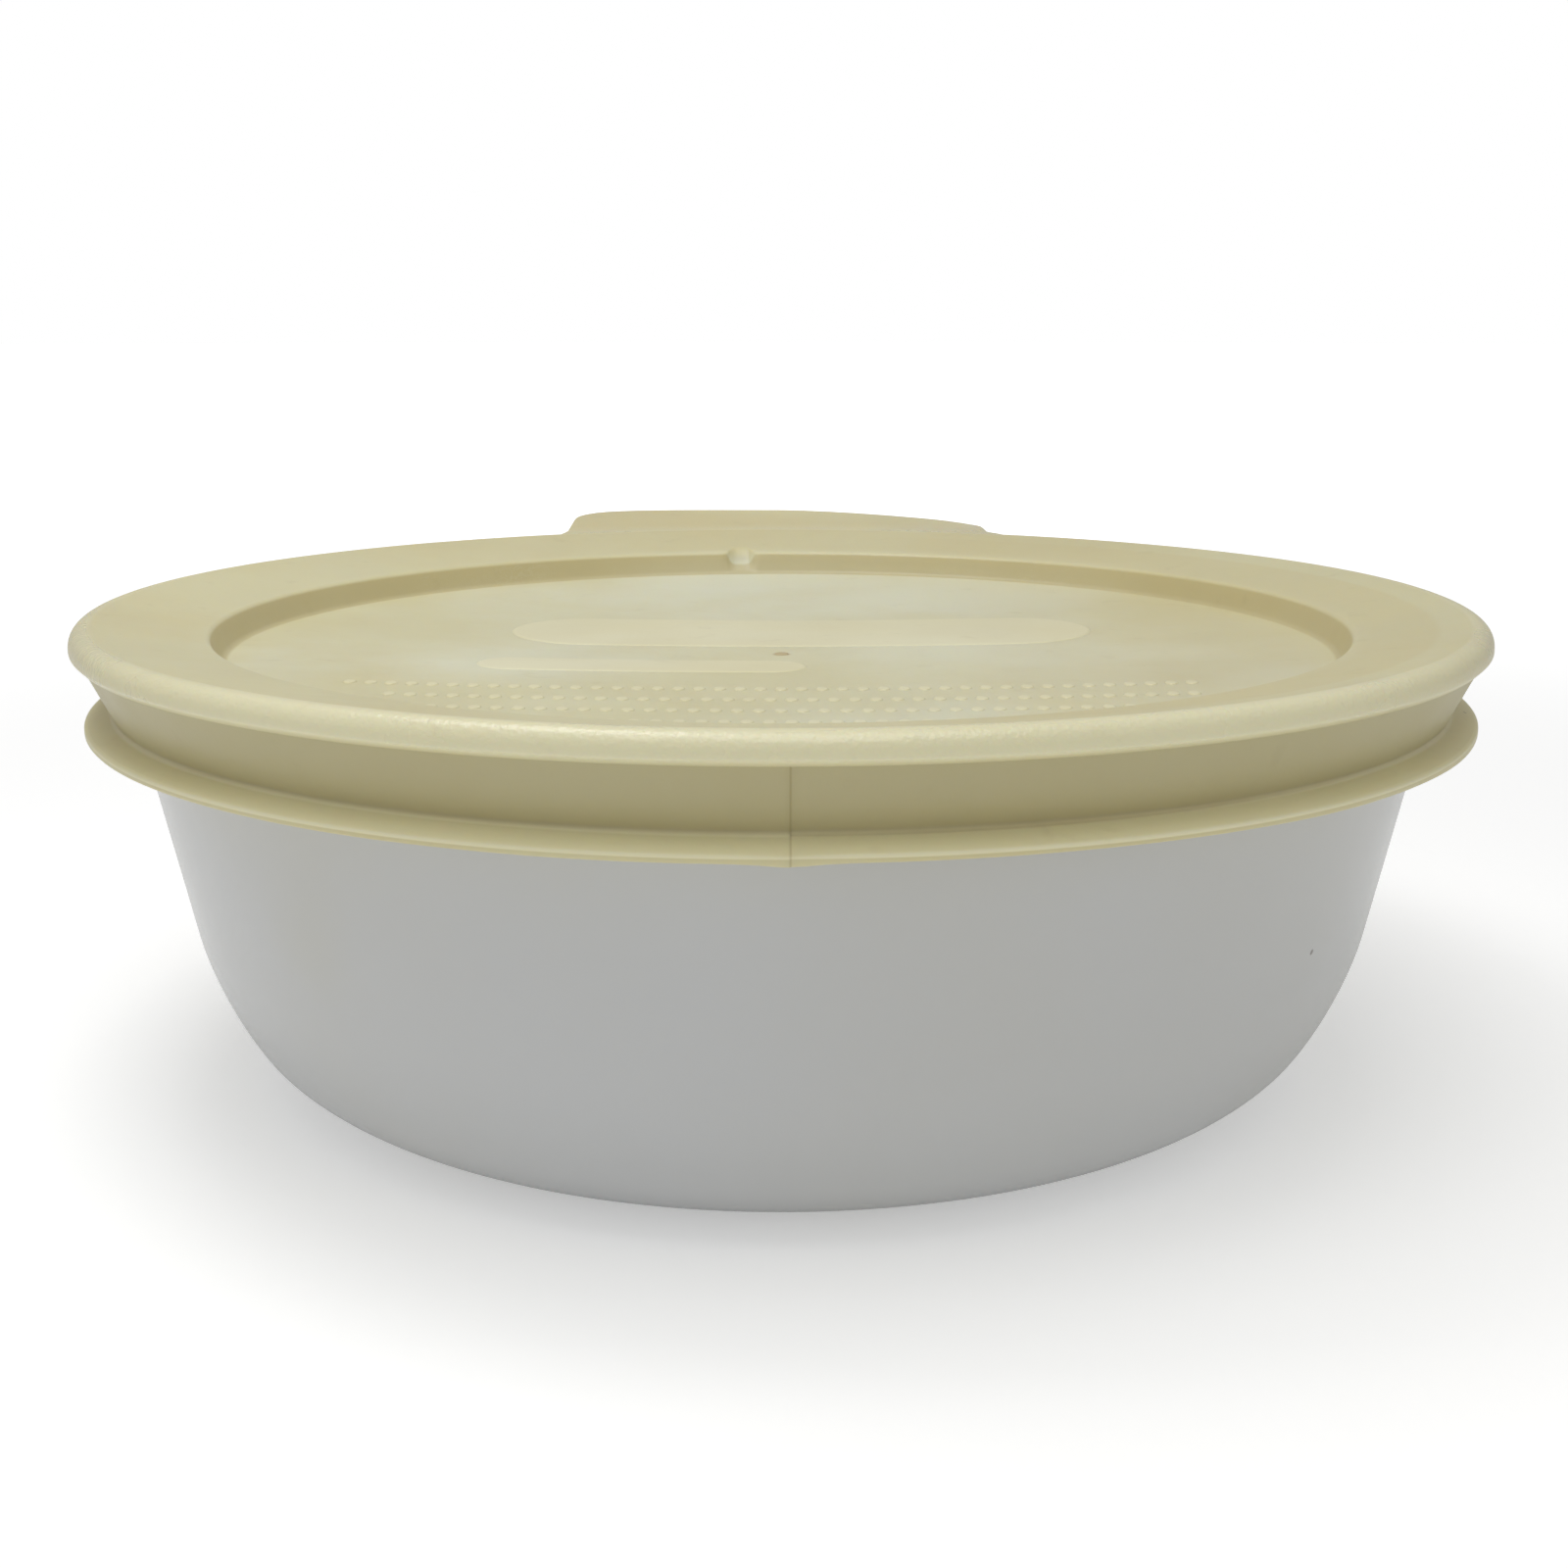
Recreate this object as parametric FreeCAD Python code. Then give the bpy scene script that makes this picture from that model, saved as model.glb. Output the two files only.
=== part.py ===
"""Round opal-glass bowl with its one-piece moulded lid.

Millimetres, +Z up. The origin is on the bowl's axis at the plane that it stands on.
The lid's lifting tab points to +Y and the lid's mould seam faces -Y.
"""
import FreeCAD
import Part
import math
import os

# ---- Bowl: driving dimensions ----
RIM_OUTER_R = 74.4          # widest point of the glass, at its rim
BOWL_HEIGHT = 51.6          # standing plane to the top of the rim
GLASS_WALL = 3.2
FLOOR_THICKNESS = 4.0
FLANK_DRAFT = 11.7          # degrees the flank leans out from vertical
KNEE_SPLIT = 35.0           # degrees from vertical where the two knee arcs meet
UPPER_KNEE_R = 33.5         # easy curve from the flank
LOWER_KNEE_R = 16.2         # tighter curve into the base
RIM_DRAFT = 4.0             # degrees left at the rim, where the flank straightens
RIM_CURVE_R = 50.0          # curve that straightens the flank below the rim
MARK_R = 40.0               # ring mark that the mould's bottom plate leaves
MARK_WIDTH = 0.9
MARK_DEPTH = 0.25

# ---- Lid: driving dimensions ----
LID_WALL = 1.0
RING_WALL = 1.1             # sloping ring between the bead and the recess
RING_SLOPE = 9.4            # degrees the ring rises outwards
BEAD_R = 1.9                # rounding of the bead round the lid's edge
BEAD_LAND = 0.35            # upright land below the bead's rounding
BEAD_CHAMFER = 0.7          # underside of the bead, across and down
SKIRT_STEP = 0.35           # ledge between the bead's lower edge and the skirt
SKIRT_DEPTH = 6.5           # bead's lower edge to the crease above the lip
LIP_WIDTH = 3.1             # crease to the lip's edge
LIP_FALL = 1.0              # how far the lip drops to its edge
LIP_EDGE = 0.85             # thickness of the lip's edge
RECESS_DEPTH = 3.1          # recessed panel below the ring's inner edge
RECESS_WALL_RUN = 1.2       # how far the recess wall leans
RECESS_ROUND = 0.8
CREASE_ROUND = 0.9
EDGE_ROUND = 0.25
TAB_WIDTH = 66.0
TAB_REACH = 12.0            # beyond the bead
TAB_THICKNESS = 1.3
TAB_CORNER_R = 6.0
TAB_ROOT_R = 4.0
TAB_RISE = 7.4              # degrees the tab climbs outwards

# ---- Fits between the two pieces ----
SEAT_GAP = 0.3              # rim top to the ring's underside
LIFT_CLEARANCE = 0.35       # rim to the neck of the skirt as the lid lifts off
PLUG_GAP = 4.8              # recess wall to the inside of the rim
BEAD_OVERHANG = 5.6         # rim to the outside of the bead


def tan(degrees):
    return math.tan(math.radians(degrees))


def sin(degrees):
    return math.sin(math.radians(degrees))


def cos(degrees):
    return math.cos(math.radians(degrees))


def at(r, z):
    """A point of a half-section: radius r, height z."""
    return FreeCAD.Vector(r, 0, z)


def line(a, b):
    return Part.LineSegment(a, b).toShape()


def heading(angle):
    """Unit direction in the half-section, angle in degrees above outwards."""
    return at(cos(angle), sin(angle))


def left_arc(start, angle, radius, turn):
    """Arc that turns left from its start; returns the edge and its end."""
    centre = start + heading(angle + 90) * radius
    middle = centre - heading(angle + turn / 2 + 90) * radius
    end = centre - heading(angle + turn + 90) * radius
    return Part.Arc(start, middle, end).toShape(), end


def rounded_path(corners):
    """Edges along (r, z, rounding) corners, each rounded by a tangent arc."""
    points = [at(r, z) for r, z, _ in corners]
    edges = []
    start = points[0]
    for i in range(1, len(points) - 1):
        corner = points[i]
        back = (points[i - 1] - corner).normalize()
        ahead = (points[i + 1] - corner).normalize()
        radius = corners[i][2]
        half = back.getAngle(ahead) / 2
        cut = radius / math.tan(half)
        if radius == 0:
            edges.append(line(start, corner))
            start = corner
            continue
        middle = (back + ahead).normalize()
        deep = radius / math.sin(half) - radius
        first, last = corner + back * cut, corner + ahead * cut
        edges.append(line(start, first))
        edges.append(Part.Arc(first, corner + middle * deep, last).toShape())
        start = last
    edges.append(line(start, points[-1]))
    return edges


def revolve(edges):
    """Solid of revolution about Z from the edges of one closed half-section."""
    face = Part.Face(Part.Wire(Part.__sortEdges__(edges)))
    return face.revolve(FreeCAD.Vector(0, 0, 0), FreeCAD.Vector(0, 0, 1), 360)


# ---- Bowl ----

def glass_surface(offset, floor_z):
    """Floor, knee, flank and rim curve, offset inwards from the outer face.

    Returns the edges from the axis to the end of the rim curve, and that end.
    """
    lower_r, upper_r, rim_r = LOWER_KNEE_R - offset, UPPER_KNEE_R - offset, RIM_CURVE_R - offset
    flank_angle, rim_angle, low_turn = 90 - FLANK_DRAFT, 90 - RIM_DRAFT, 90 - KNEE_SPLIT
    top = at(RIM_OUTER_R - offset, BOWL_HEIGHT - GLASS_WALL / 2)
    flank_end = top - (heading(rim_angle - 90) - heading(flank_angle - 90)) * rim_r
    knee_drop = lower_r * (1 - cos(low_turn)) + upper_r * (cos(low_turn) - cos(flank_angle))
    knee_run = lower_r * sin(low_turn) + upper_r * (sin(flank_angle) - sin(low_turn))
    flank_drop = flank_end.z - floor_z - knee_drop
    floor_end = at(flank_end.x - flank_drop * tan(FLANK_DRAFT) - knee_run, floor_z)
    lower, split = left_arc(floor_end, 0, lower_r, low_turn)
    upper, flank_start = left_arc(split, low_turn, upper_r, flank_angle - low_turn)
    rim, end = left_arc(flank_end, flank_angle, rim_r, rim_angle - flank_angle)
    floor, flank = line(at(0, floor_z), floor_end), line(flank_start, flank_end)
    return [floor, lower, upper, flank, rim], end


def make_bowl():
    outer, outer_top = glass_surface(0, 0)
    inner, inner_top = glass_surface(GLASS_WALL, FLOOR_THICKNESS)
    crown = at((outer_top.x + inner_top.x) / 2, BOWL_HEIGHT)
    rim = Part.Arc(outer_top, crown, inner_top).toShape()
    axis = line(at(0, 0), at(0, FLOOR_THICKNESS))
    bowl = revolve(outer + [rim] + inner + [axis])
    mark = Part.makeCylinder(MARK_R + MARK_WIDTH / 2, MARK_DEPTH)
    return bowl.cut(mark.cut(Part.makeCylinder(MARK_R - MARK_WIDTH / 2, MARK_DEPTH)))


# ---- Lid ----

rim_middle_r = RIM_OUTER_R - GLASS_WALL / 2
neck_inner_r = RIM_OUTER_R + LIFT_CLEARANCE
bead_outer_r = RIM_OUTER_R + BEAD_OVERHANG
recess_top_r = RIM_OUTER_R - GLASS_WALL - PLUG_GAP - LID_WALL
recess_floor_r = recess_top_r - RECESS_WALL_RUN
ring_drop = RING_WALL / cos(RING_SLOPE)


def ring_top(r):
    """Height of the ring's upper face at radius r."""
    seat = BOWL_HEIGHT + SEAT_GAP + ring_drop
    return seat + (r - rim_middle_r) * tan(RING_SLOPE)


panel_z = ring_top(recess_top_r) - RECESS_DEPTH
bead_centre_z = ring_top(bead_outer_r - BEAD_R) - BEAD_R / cos(RING_SLOPE)
bead_edge_z = bead_centre_z - BEAD_LAND - BEAD_CHAMFER
crease_z = bead_edge_z - SKIRT_DEPTH
skirt_top_r = bead_outer_r - BEAD_CHAMFER - SKIRT_STEP
skirt_lean = math.atan2(skirt_top_r - neck_inner_r - LID_WALL, SKIRT_DEPTH)
crease_r = neck_inner_r + LID_WALL / math.cos(skirt_lean)
lip_r = crease_r + LIP_WIDTH
lip_top_z = crease_z - LIP_FALL
lip_bottom_z = lip_top_z - LIP_EDGE
crest_z = bead_centre_z + BEAD_R
crest_r = bead_outer_r - BEAD_R


def lid_outside():
    """The lid's outer form, solid down to the lip's lower edge."""
    corners = [
        (0, panel_z, 0),
        (recess_floor_r, panel_z, RECESS_ROUND),
        (recess_top_r, ring_top(recess_top_r), RECESS_ROUND),
        (bead_outer_r, ring_top(bead_outer_r), BEAD_R),
        (bead_outer_r, bead_edge_z + BEAD_CHAMFER, 0),
        (bead_outer_r - BEAD_CHAMFER, bead_edge_z, 0),
        (skirt_top_r, bead_edge_z, 0),
        (crease_r, crease_z, CREASE_ROUND),
        (lip_r, lip_top_z, EDGE_ROUND),
        (lip_r, lip_bottom_z, 0),
        (0, lip_bottom_z, 0),
    ]
    return revolve(rounded_path(corners) + [line(at(0, lip_bottom_z), at(0, panel_z))])


def lid_inside():
    """The hollow under the lid: panel, channel for the rim, skirt and lip."""
    run = (skirt_top_r - crease_r) / SKIRT_DEPTH
    channel_r = neck_inner_r + run * (ring_top(bead_outer_r) - ring_drop - crease_z)
    below = lip_bottom_z - LIP_FALL
    corners = [
        (0, panel_z - LID_WALL, 0),
        (recess_floor_r + LID_WALL, panel_z - LID_WALL, RECESS_ROUND),
        (recess_top_r + LID_WALL, ring_top(recess_top_r + LID_WALL) - ring_drop, RECESS_ROUND / 2),
        (channel_r, ring_top(channel_r) - ring_drop, CREASE_ROUND),
        (neck_inner_r, crease_z, CREASE_ROUND),
        (neck_inner_r + EDGE_ROUND, crease_z - LID_WALL, 0),
        (lip_r - EDGE_ROUND, lip_bottom_z, 0),
        (lip_r - EDGE_ROUND, below, 0),
        (0, below, 0),
    ]
    return revolve(rounded_path(corners) + [line(at(0, below), at(0, panel_z - LID_WALL))])


def tab_plate():
    """Lifting tab: a plate with rounded corners and hollow roots, tilted up."""
    half, end_y = TAB_WIDTH / 2, bead_outer_r + TAB_REACH
    root_x, root_reach = half + TAB_ROOT_R, bead_outer_r + TAB_ROOT_R
    root_y = math.sqrt(root_reach ** 2 - root_x ** 2)
    foot = FreeCAD.Vector(root_x, root_y, 0) * (bead_outer_r / root_reach)
    inner = FreeCAD.Vector(root_x, root_y, 0) * (crest_r / root_reach)
    hollow = FreeCAD.Vector(-root_x / root_reach - 1, -root_y / root_reach, 0).normalize()
    hollow_x, hollow_y = root_x + hollow.x * TAB_ROOT_R, root_y + hollow.y * TAB_ROOT_R
    corner = TAB_CORNER_R * (1 - sin(45))

    def point(x, y):
        return FreeCAD.Vector(x, y, crest_z - TAB_THICKNESS)

    def arc(first, middle, last):
        return Part.Arc(point(*first), point(*middle), point(*last)).toShape()

    def half_outline(side):
        return [
            line(point(side * inner.x, inner.y), point(side * foot.x, foot.y)),
            arc((side * foot.x, foot.y), (side * hollow_x, hollow_y), (side * half, root_y)),
            line(point(side * half, root_y), point(side * half, end_y - TAB_CORNER_R)),
            arc((side * half, end_y - TAB_CORNER_R), (side * (half - corner), end_y - corner),
                (side * (half - TAB_CORNER_R), end_y)),
        ]

    ends = [
        line(point(TAB_CORNER_R - half, end_y), point(half - TAB_CORNER_R, end_y)),
        arc((-inner.x, inner.y), (0, crest_r), (inner.x, inner.y)),
    ]
    outline = Part.Wire(Part.__sortEdges__(half_outline(1) + half_outline(-1) + ends))
    plate = Part.Face(outline).extrude(FreeCAD.Vector(0, 0, TAB_THICKNESS))
    plate.rotate(FreeCAD.Vector(0, crest_r, crest_z), FreeCAD.Vector(1, 0, 0), TAB_RISE)
    return plate


def make_lid():
    return lid_outside().fuse(tab_plate()).cut(lid_inside()).removeSplitter()


def single_solid(shape):
    """The one solid of a finished piece, which has to be valid."""
    if len(shape.Solids) != 1 or not shape.isValid():
        raise ValueError("the piece has to be one valid solid")
    return shape.Solids[0]


pieces = {"bowl": make_bowl(), "lid": make_lid()}
os.makedirs("parts", exist_ok=True)
for name, shape in pieces.items():
    solid = single_solid(shape)
    solid.exportStep(os.path.join("parts", name + ".step"))
    box = solid.BoundBox
    print(name, "volume", round(solid.Volume), "x", round(box.XMin, 2), round(box.XMax, 2),
          "y", round(box.YMin, 2), round(box.YMax, 2), "z", round(box.ZMin, 2), round(box.ZMax, 2))
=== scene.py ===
import bpy
import bmesh
import math
from mathutils import Matrix, Vector, noise


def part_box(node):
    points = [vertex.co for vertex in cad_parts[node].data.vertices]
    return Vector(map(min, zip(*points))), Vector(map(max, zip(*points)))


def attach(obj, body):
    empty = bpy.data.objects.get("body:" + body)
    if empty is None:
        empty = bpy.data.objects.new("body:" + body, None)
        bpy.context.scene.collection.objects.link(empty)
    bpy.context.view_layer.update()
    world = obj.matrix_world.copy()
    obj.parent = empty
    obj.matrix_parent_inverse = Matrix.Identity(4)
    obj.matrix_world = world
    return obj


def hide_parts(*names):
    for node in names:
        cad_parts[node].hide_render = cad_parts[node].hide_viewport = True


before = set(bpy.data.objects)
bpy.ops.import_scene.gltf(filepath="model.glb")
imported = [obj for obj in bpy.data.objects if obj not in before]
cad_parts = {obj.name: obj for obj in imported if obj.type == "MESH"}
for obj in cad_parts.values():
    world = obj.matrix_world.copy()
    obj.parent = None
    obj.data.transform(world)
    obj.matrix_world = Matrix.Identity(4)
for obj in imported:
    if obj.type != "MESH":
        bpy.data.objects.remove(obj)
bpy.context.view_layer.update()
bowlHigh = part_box("bowl")[1]  # highest corners, in metres
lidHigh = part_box("lid")[1]
mm = 0.001
beyond = 200                  # mm, past the edge of every piece
turns = 256                   # columns round every turned piece


def degTan(angle):
    return math.tan(math.radians(angle))


def degDir(angle):            # direction in a half-section, measured up from outwards
    return Vector((math.cos(math.radians(angle)), 0, math.sin(math.radians(angle))))


def smooth(low, high, value):  # 0 at low, 1 at high; the bounds may come in either order
    t = min(max((value - low) / (high - low), 0), 1)
    return t * t * (3 - 2 * t)


# corners: radius, height, rounding and its segments, in mm
def drawProfile(bm, corners, longest):
    verts = [bm.verts.new((r, 0, z)) for r, z, _, _ in corners]
    for pair in zip(verts, verts[1:]):
        bm.edges.new(pair)
    for i in range(1, len(corners) - 1):
        rounding, segments = corners[i][2:]
        if not rounding:
            continue
        here = Vector(corners[i][:2])
        turn = (here - Vector(corners[i - 1][:2])).angle(Vector(corners[i + 1][:2]) - here)
        bmesh.ops.bevel(
            bm, geom=[verts[i]], affect="VERTICES", offset=rounding * math.tan(turn / 2),
            offset_type="OFFSET", segments=segments, profile=0.5, material=-1, clamp_overlap=False)
    for edge in list(bm.edges):  # long runs get rows of their own, so that shading stays even
        cuts = math.ceil(edge.calc_length() / longest) - 1
        if cuts > 0:
            bmesh.ops.subdivide_edges(bm, edges=[edge], cuts=cuts)


def turnProfile(bm):
    bmesh.ops.spin(
        bm, geom=bm.verts[:] + bm.edges[:], cent=(0, 0, 0), axis=(0, 0, 1),
        angle=math.tau, steps=turns, use_merge=True)
    bmesh.ops.remove_doubles(bm, verts=bm.verts[:], dist=0.002)
    bmesh.ops.recalc_face_normals(bm, faces=bm.faces[:])


# the faces' own points, each once and always in the same order
def pointsOf(faces):
    return list(dict.fromkeys(v for f in faces for v in f.verts))


def finishPiece(bm, name, body, node, material):
    bmesh.ops.scale(bm, vec=(mm, mm, mm), verts=bm.verts[:])
    for face in bm.faces:
        face.smooth = True
    mesh = bpy.data.meshes.new(name)
    bm.to_mesh(mesh)
    bm.free()
    mesh.materials.append(material)
    piece = bpy.data.objects.new(name, mesh)
    bpy.context.scene.collection.objects.link(piece)
    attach(piece, body)
    if node:
        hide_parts(node)
    return piece


def startGroup(name, inputs, output):
    group = bpy.data.node_groups.new(name, "ShaderNodeTree")
    for label, kind, value in inputs:
        socket = group.interface.new_socket(name=label, in_out="INPUT", socket_type=kind)
        if value is not None:
            socket.default_value = value
    group.interface.new_socket(name=output, in_out="OUTPUT", socket_type="NodeSocketFloat")
    return group, group.nodes.new("NodeGroupInput"), group.nodes.new("NodeGroupOutput")


def addNode(tree, kind, settings=None, **values):
    node = tree.nodes.new(kind)
    for key, value in (settings or {}).items():
        setattr(node, key, value)
    for key, value in values.items():
        node.inputs[key.replace("_", " ")].default_value = value
    return node


def addMath(tree, operation, a, b=None, clamp=False):
    node = tree.nodes.new("ShaderNodeMath")
    node.operation, node.use_clamp = operation, clamp
    for socket, value in zip(node.inputs, (a, b)):
        if value is None:
            continue
        if isinstance(value, (int, float)):
            socket.default_value = value
        else:
            tree.links.new(value, socket)
    return node.outputs[0]


# 0 below low, 1 above high; low and high may be numbers or sockets
def ramp(tree, value, low, high):
    node = tree.nodes.new("ShaderNodeMapRange")
    node.interpolation_type = "SMOOTHSTEP"
    for socket, source in (("Value", value), ("From Min", low), ("From Max", high)):
        if isinstance(source, (int, float)):
            node.inputs[socket].default_value = source
        else:
            tree.links.new(source, node.inputs[socket])
    return node.outputs[0]


def blotchGroup():
    group, entry, leave = startGroup("blotches", [
        ("Position", "NodeSocketVector", None), ("Scale", "NodeSocketFloat", 30.0),
        ("Detail", "NodeSocketFloat", 4.0), ("Low", "NodeSocketFloat", 0.4),
        ("High", "NodeSocketFloat", 0.65)], "Mask")
    cloud = addNode(group, "ShaderNodeTexNoise", Roughness=0.55)
    for name in ("Scale", "Detail"):
        group.links.new(entry.outputs[name], cloud.inputs[name])
    group.links.new(entry.outputs["Position"], cloud.inputs["Vector"])
    mask = ramp(group, cloud.outputs[0], entry.outputs["Low"], entry.outputs["High"])
    group.links.new(mask, leave.inputs["Mask"])
    return group


def speckGroup():
    group, entry, leave = startGroup("specks", [
        ("Position", "NodeSocketVector", None), ("Scale", "NodeSocketFloat", 120.0),
        ("Size", "NodeSocketFloat", 0.05), ("Share", "NodeSocketFloat", 0.1)], "Mask")
    cells = addNode(group, "ShaderNodeTexVoronoi", Randomness=1.0)
    group.links.new(entry.outputs["Position"], cells.inputs["Vector"])
    group.links.new(entry.outputs["Scale"], cells.inputs["Scale"])
    pick = addNode(group, "ShaderNodeSeparateColor")
    group.links.new(cells.outputs["Color"], pick.inputs[0])
    chosen = addMath(group, "LESS_THAN", pick.outputs[0], entry.outputs["Share"])
    reach = addMath(group, "MULTIPLY", entry.outputs["Size"], addMath(group, "ADD", pick.outputs[1], 0.3))
    inside = addMath(group, "SUBTRACT", 1.0, ramp(group, cells.outputs["Distance"], addMath(
        group, "MULTIPLY", reach, 0.6), reach))
    group.links.new(addMath(group, "MULTIPLY", chosen, inside), leave.inputs["Mask"])
    return group


def scratchGroup():
    group, entry, leave = startGroup("scratches", [
        ("Position", "NodeSocketVector", None), ("Scale", "NodeSocketFloat", 60.0),
        ("Turn", "NodeSocketFloat", 0.5), ("Amount", "NodeSocketFloat", 0.06)], "Mask")
    turned = addNode(group, "ShaderNodeVectorRotate", {"rotation_type": "Z_AXIS"})
    group.links.new(entry.outputs["Position"], turned.inputs["Vector"])
    group.links.new(entry.outputs["Turn"], turned.inputs["Angle"])
    drawn = addNode(group, "ShaderNodeVectorMath", {"operation": "MULTIPLY"})
    drawn.inputs[1].default_value = (1.0, 26.0, 26.0)
    group.links.new(turned.outputs[0], drawn.inputs[0])
    lines = addNode(group, "ShaderNodeTexNoise", Detail=3.0, Roughness=0.7, Distortion=0.35)
    group.links.new(drawn.outputs[0], lines.inputs["Vector"])
    group.links.new(entry.outputs["Scale"], lines.inputs["Scale"])
    off = addMath(group, "ABSOLUTE", addMath(group, "SUBTRACT", lines.outputs[0], 0.5))
    edge = addMath(group, "MULTIPLY", entry.outputs["Amount"], 0.25)
    line = addMath(group, "SUBTRACT", 1.0, ramp(group, off, edge, entry.outputs["Amount"]))
    patches = addNode(group, "ShaderNodeTexNoise", Scale=45.0, Detail=2.0)
    group.links.new(entry.outputs["Position"], patches.inputs["Vector"])
    here = ramp(group, patches.outputs[0], 0.5, 0.7)
    group.links.new(addMath(group, "MULTIPLY", line, here), leave.inputs["Mask"])
    return group


# 1 between two radii and two heights, with soft sides
def ringGroup():
    group, entry, leave = startGroup("ringZone", [
        ("Position", "NodeSocketVector", None), ("Inner", "NodeSocketFloat", 0.0),
        ("Outer", "NodeSocketFloat", 1.0), ("Bottom", "NodeSocketFloat", -1.0),
        ("Top", "NodeSocketFloat", 1.0), ("Softness", "NodeSocketFloat", 0.001)], "Mask")
    parts = addNode(group, "ShaderNodeSeparateXYZ")
    group.links.new(entry.outputs["Position"], parts.inputs[0])
    radius = addMath(group, "SQRT", addMath(
        group, "ADD", addMath(group, "POWER", parts.outputs[0], 2.0),
        addMath(group, "POWER", parts.outputs[1], 2.0)))
    mask = None
    for value, low, high in ((radius, "Inner", "Outer"), (parts.outputs[2], "Bottom", "Top")):
        soft = entry.outputs["Softness"]
        enter = ramp(group, value, addMath(group, "SUBTRACT", entry.outputs[low], soft), entry.outputs[low])
        past = ramp(group, value, entry.outputs[high], addMath(group, "ADD", entry.outputs[high], soft))
        zone = addMath(group, "SUBTRACT", enter, past, clamp=True)
        mask = zone if mask is None else addMath(group, "MULTIPLY", mask, zone)
    group.links.new(mask, leave.inputs["Mask"])
    return group


# height of a fine spark-eroded mould texture
def stippleGroup():
    group, entry, leave = startGroup("stipple", [
        ("Position", "NodeSocketVector", None), ("Scale", "NodeSocketFloat", 2200.0)], "Height")
    fine = addNode(group, "ShaderNodeTexNoise", Detail=2.0, Roughness=0.6)
    cells = addNode(group, "ShaderNodeTexVoronoi", {"feature": "SMOOTH_F1"}, Smoothness=0.6)
    for texture in (fine, cells):
        group.links.new(entry.outputs["Position"], texture.inputs["Vector"])
    group.links.new(entry.outputs["Scale"], fine.inputs["Scale"])
    group.links.new(addMath(group, "MULTIPLY", entry.outputs["Scale"], 0.6), cells.inputs["Scale"])
    total = addMath(group, "ADD", fine.outputs[0], cells.outputs["Distance"])
    group.links.new(total, leave.inputs["Height"])
    return group


effects = {
    "blotches": blotchGroup(), "specks": speckGroup(), "scratches": scratchGroup(),
    "ringZone": ringGroup(), "stipple": stippleGroup()}


# a material under construction: its tree, its Principled shader, and the colour and roughness so far
class Finish:

    def __init__(self, name, colour, **plain):
        self.material = bpy.data.materials.new(name)
        self.material.use_nodes = True
        self.tree = self.material.node_tree
        self.shader = self.tree.nodes["Principled BSDF"]
        for key, value in plain.items():
            self.shader.inputs[key.replace("_", " ")].default_value = value
        self.position = self.tree.nodes.new("ShaderNodeTexCoord").outputs["Object"]
        self.shader.inputs["Base Color"].default_value = (*colour, 1)
        self.colour, self.rough = None, None

    def effect(self, name, **values):
        node = self.tree.nodes.new("ShaderNodeGroup")
        node.node_tree = effects[name]
        self.tree.links.new(self.position, node.inputs["Position"])
        for key, value in values.items():
            node.inputs[key].default_value = value
        return node.outputs[0]

    def zone(self, inner, outer, bottom, top, soft):   # in mm
        return self.effect("ringZone", Inner=inner * mm, Outer=outer * mm, Bottom=bottom * mm,
                           Top=top * mm, Softness=soft * mm)

    def tint(self, mask, colour, amount):
        mix = addNode(self.tree, "ShaderNodeMix", {"data_type": "RGBA"})
        self.tree.links.new(addMath(self.tree, "MULTIPLY", mask, amount), mix.inputs[0])
        if self.colour is None:
            mix.inputs[6].default_value = self.shader.inputs["Base Color"].default_value
        else:
            self.tree.links.new(self.colour, mix.inputs[6])
        mix.inputs[7].default_value = (*colour, 1)
        self.colour = mix.outputs[2]

    def roughen(self, mask, amount, start=None):        # the first call gives the start
        change = addMath(self.tree, "MULTIPLY", mask, amount)
        self.rough = addMath(self.tree, "ADD", self.rough if start is None else start, change)

    def bump(self, height, strength, distance):
        node = addNode(self.tree, "ShaderNodeBump", Strength=strength, Distance=distance)
        self.tree.links.new(height, node.inputs["Height"])
        if self.shader.inputs["Normal"].links:
            before = self.shader.inputs["Normal"].links[0].from_socket
            self.tree.links.new(before, node.inputs["Normal"])
        self.tree.links.new(node.outputs[0], self.shader.inputs["Normal"])

    def done(self):
        if self.colour is not None:
            self.tree.links.new(self.colour, self.shader.inputs["Base Color"])
        if self.rough is not None:
            self.tree.links.new(self.rough, self.shader.inputs["Roughness"])
        return self.material


bowl = {
    "wall": 3.2, "floor": 4.0, "draft": 11.7, "kneeSplit": 35.0, "upperKnee": 33.5,
    "lowerKnee": 16.2, "rimDraft": 4.0, "rimCurve": 50.0, "markR": 40.0, "markWidth": 0.9,
    "markDepth": 0.25, "markFlank": 0.15, "markRound": 0.1, "longest": 3.0,
    "white": (0.69, 0.70, 0.70), "warm": (0.675, 0.67, 0.62), "speck": (0.16, 0.13, 0.10),
    "stain": (0.65, 0.62, 0.47)}


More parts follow.
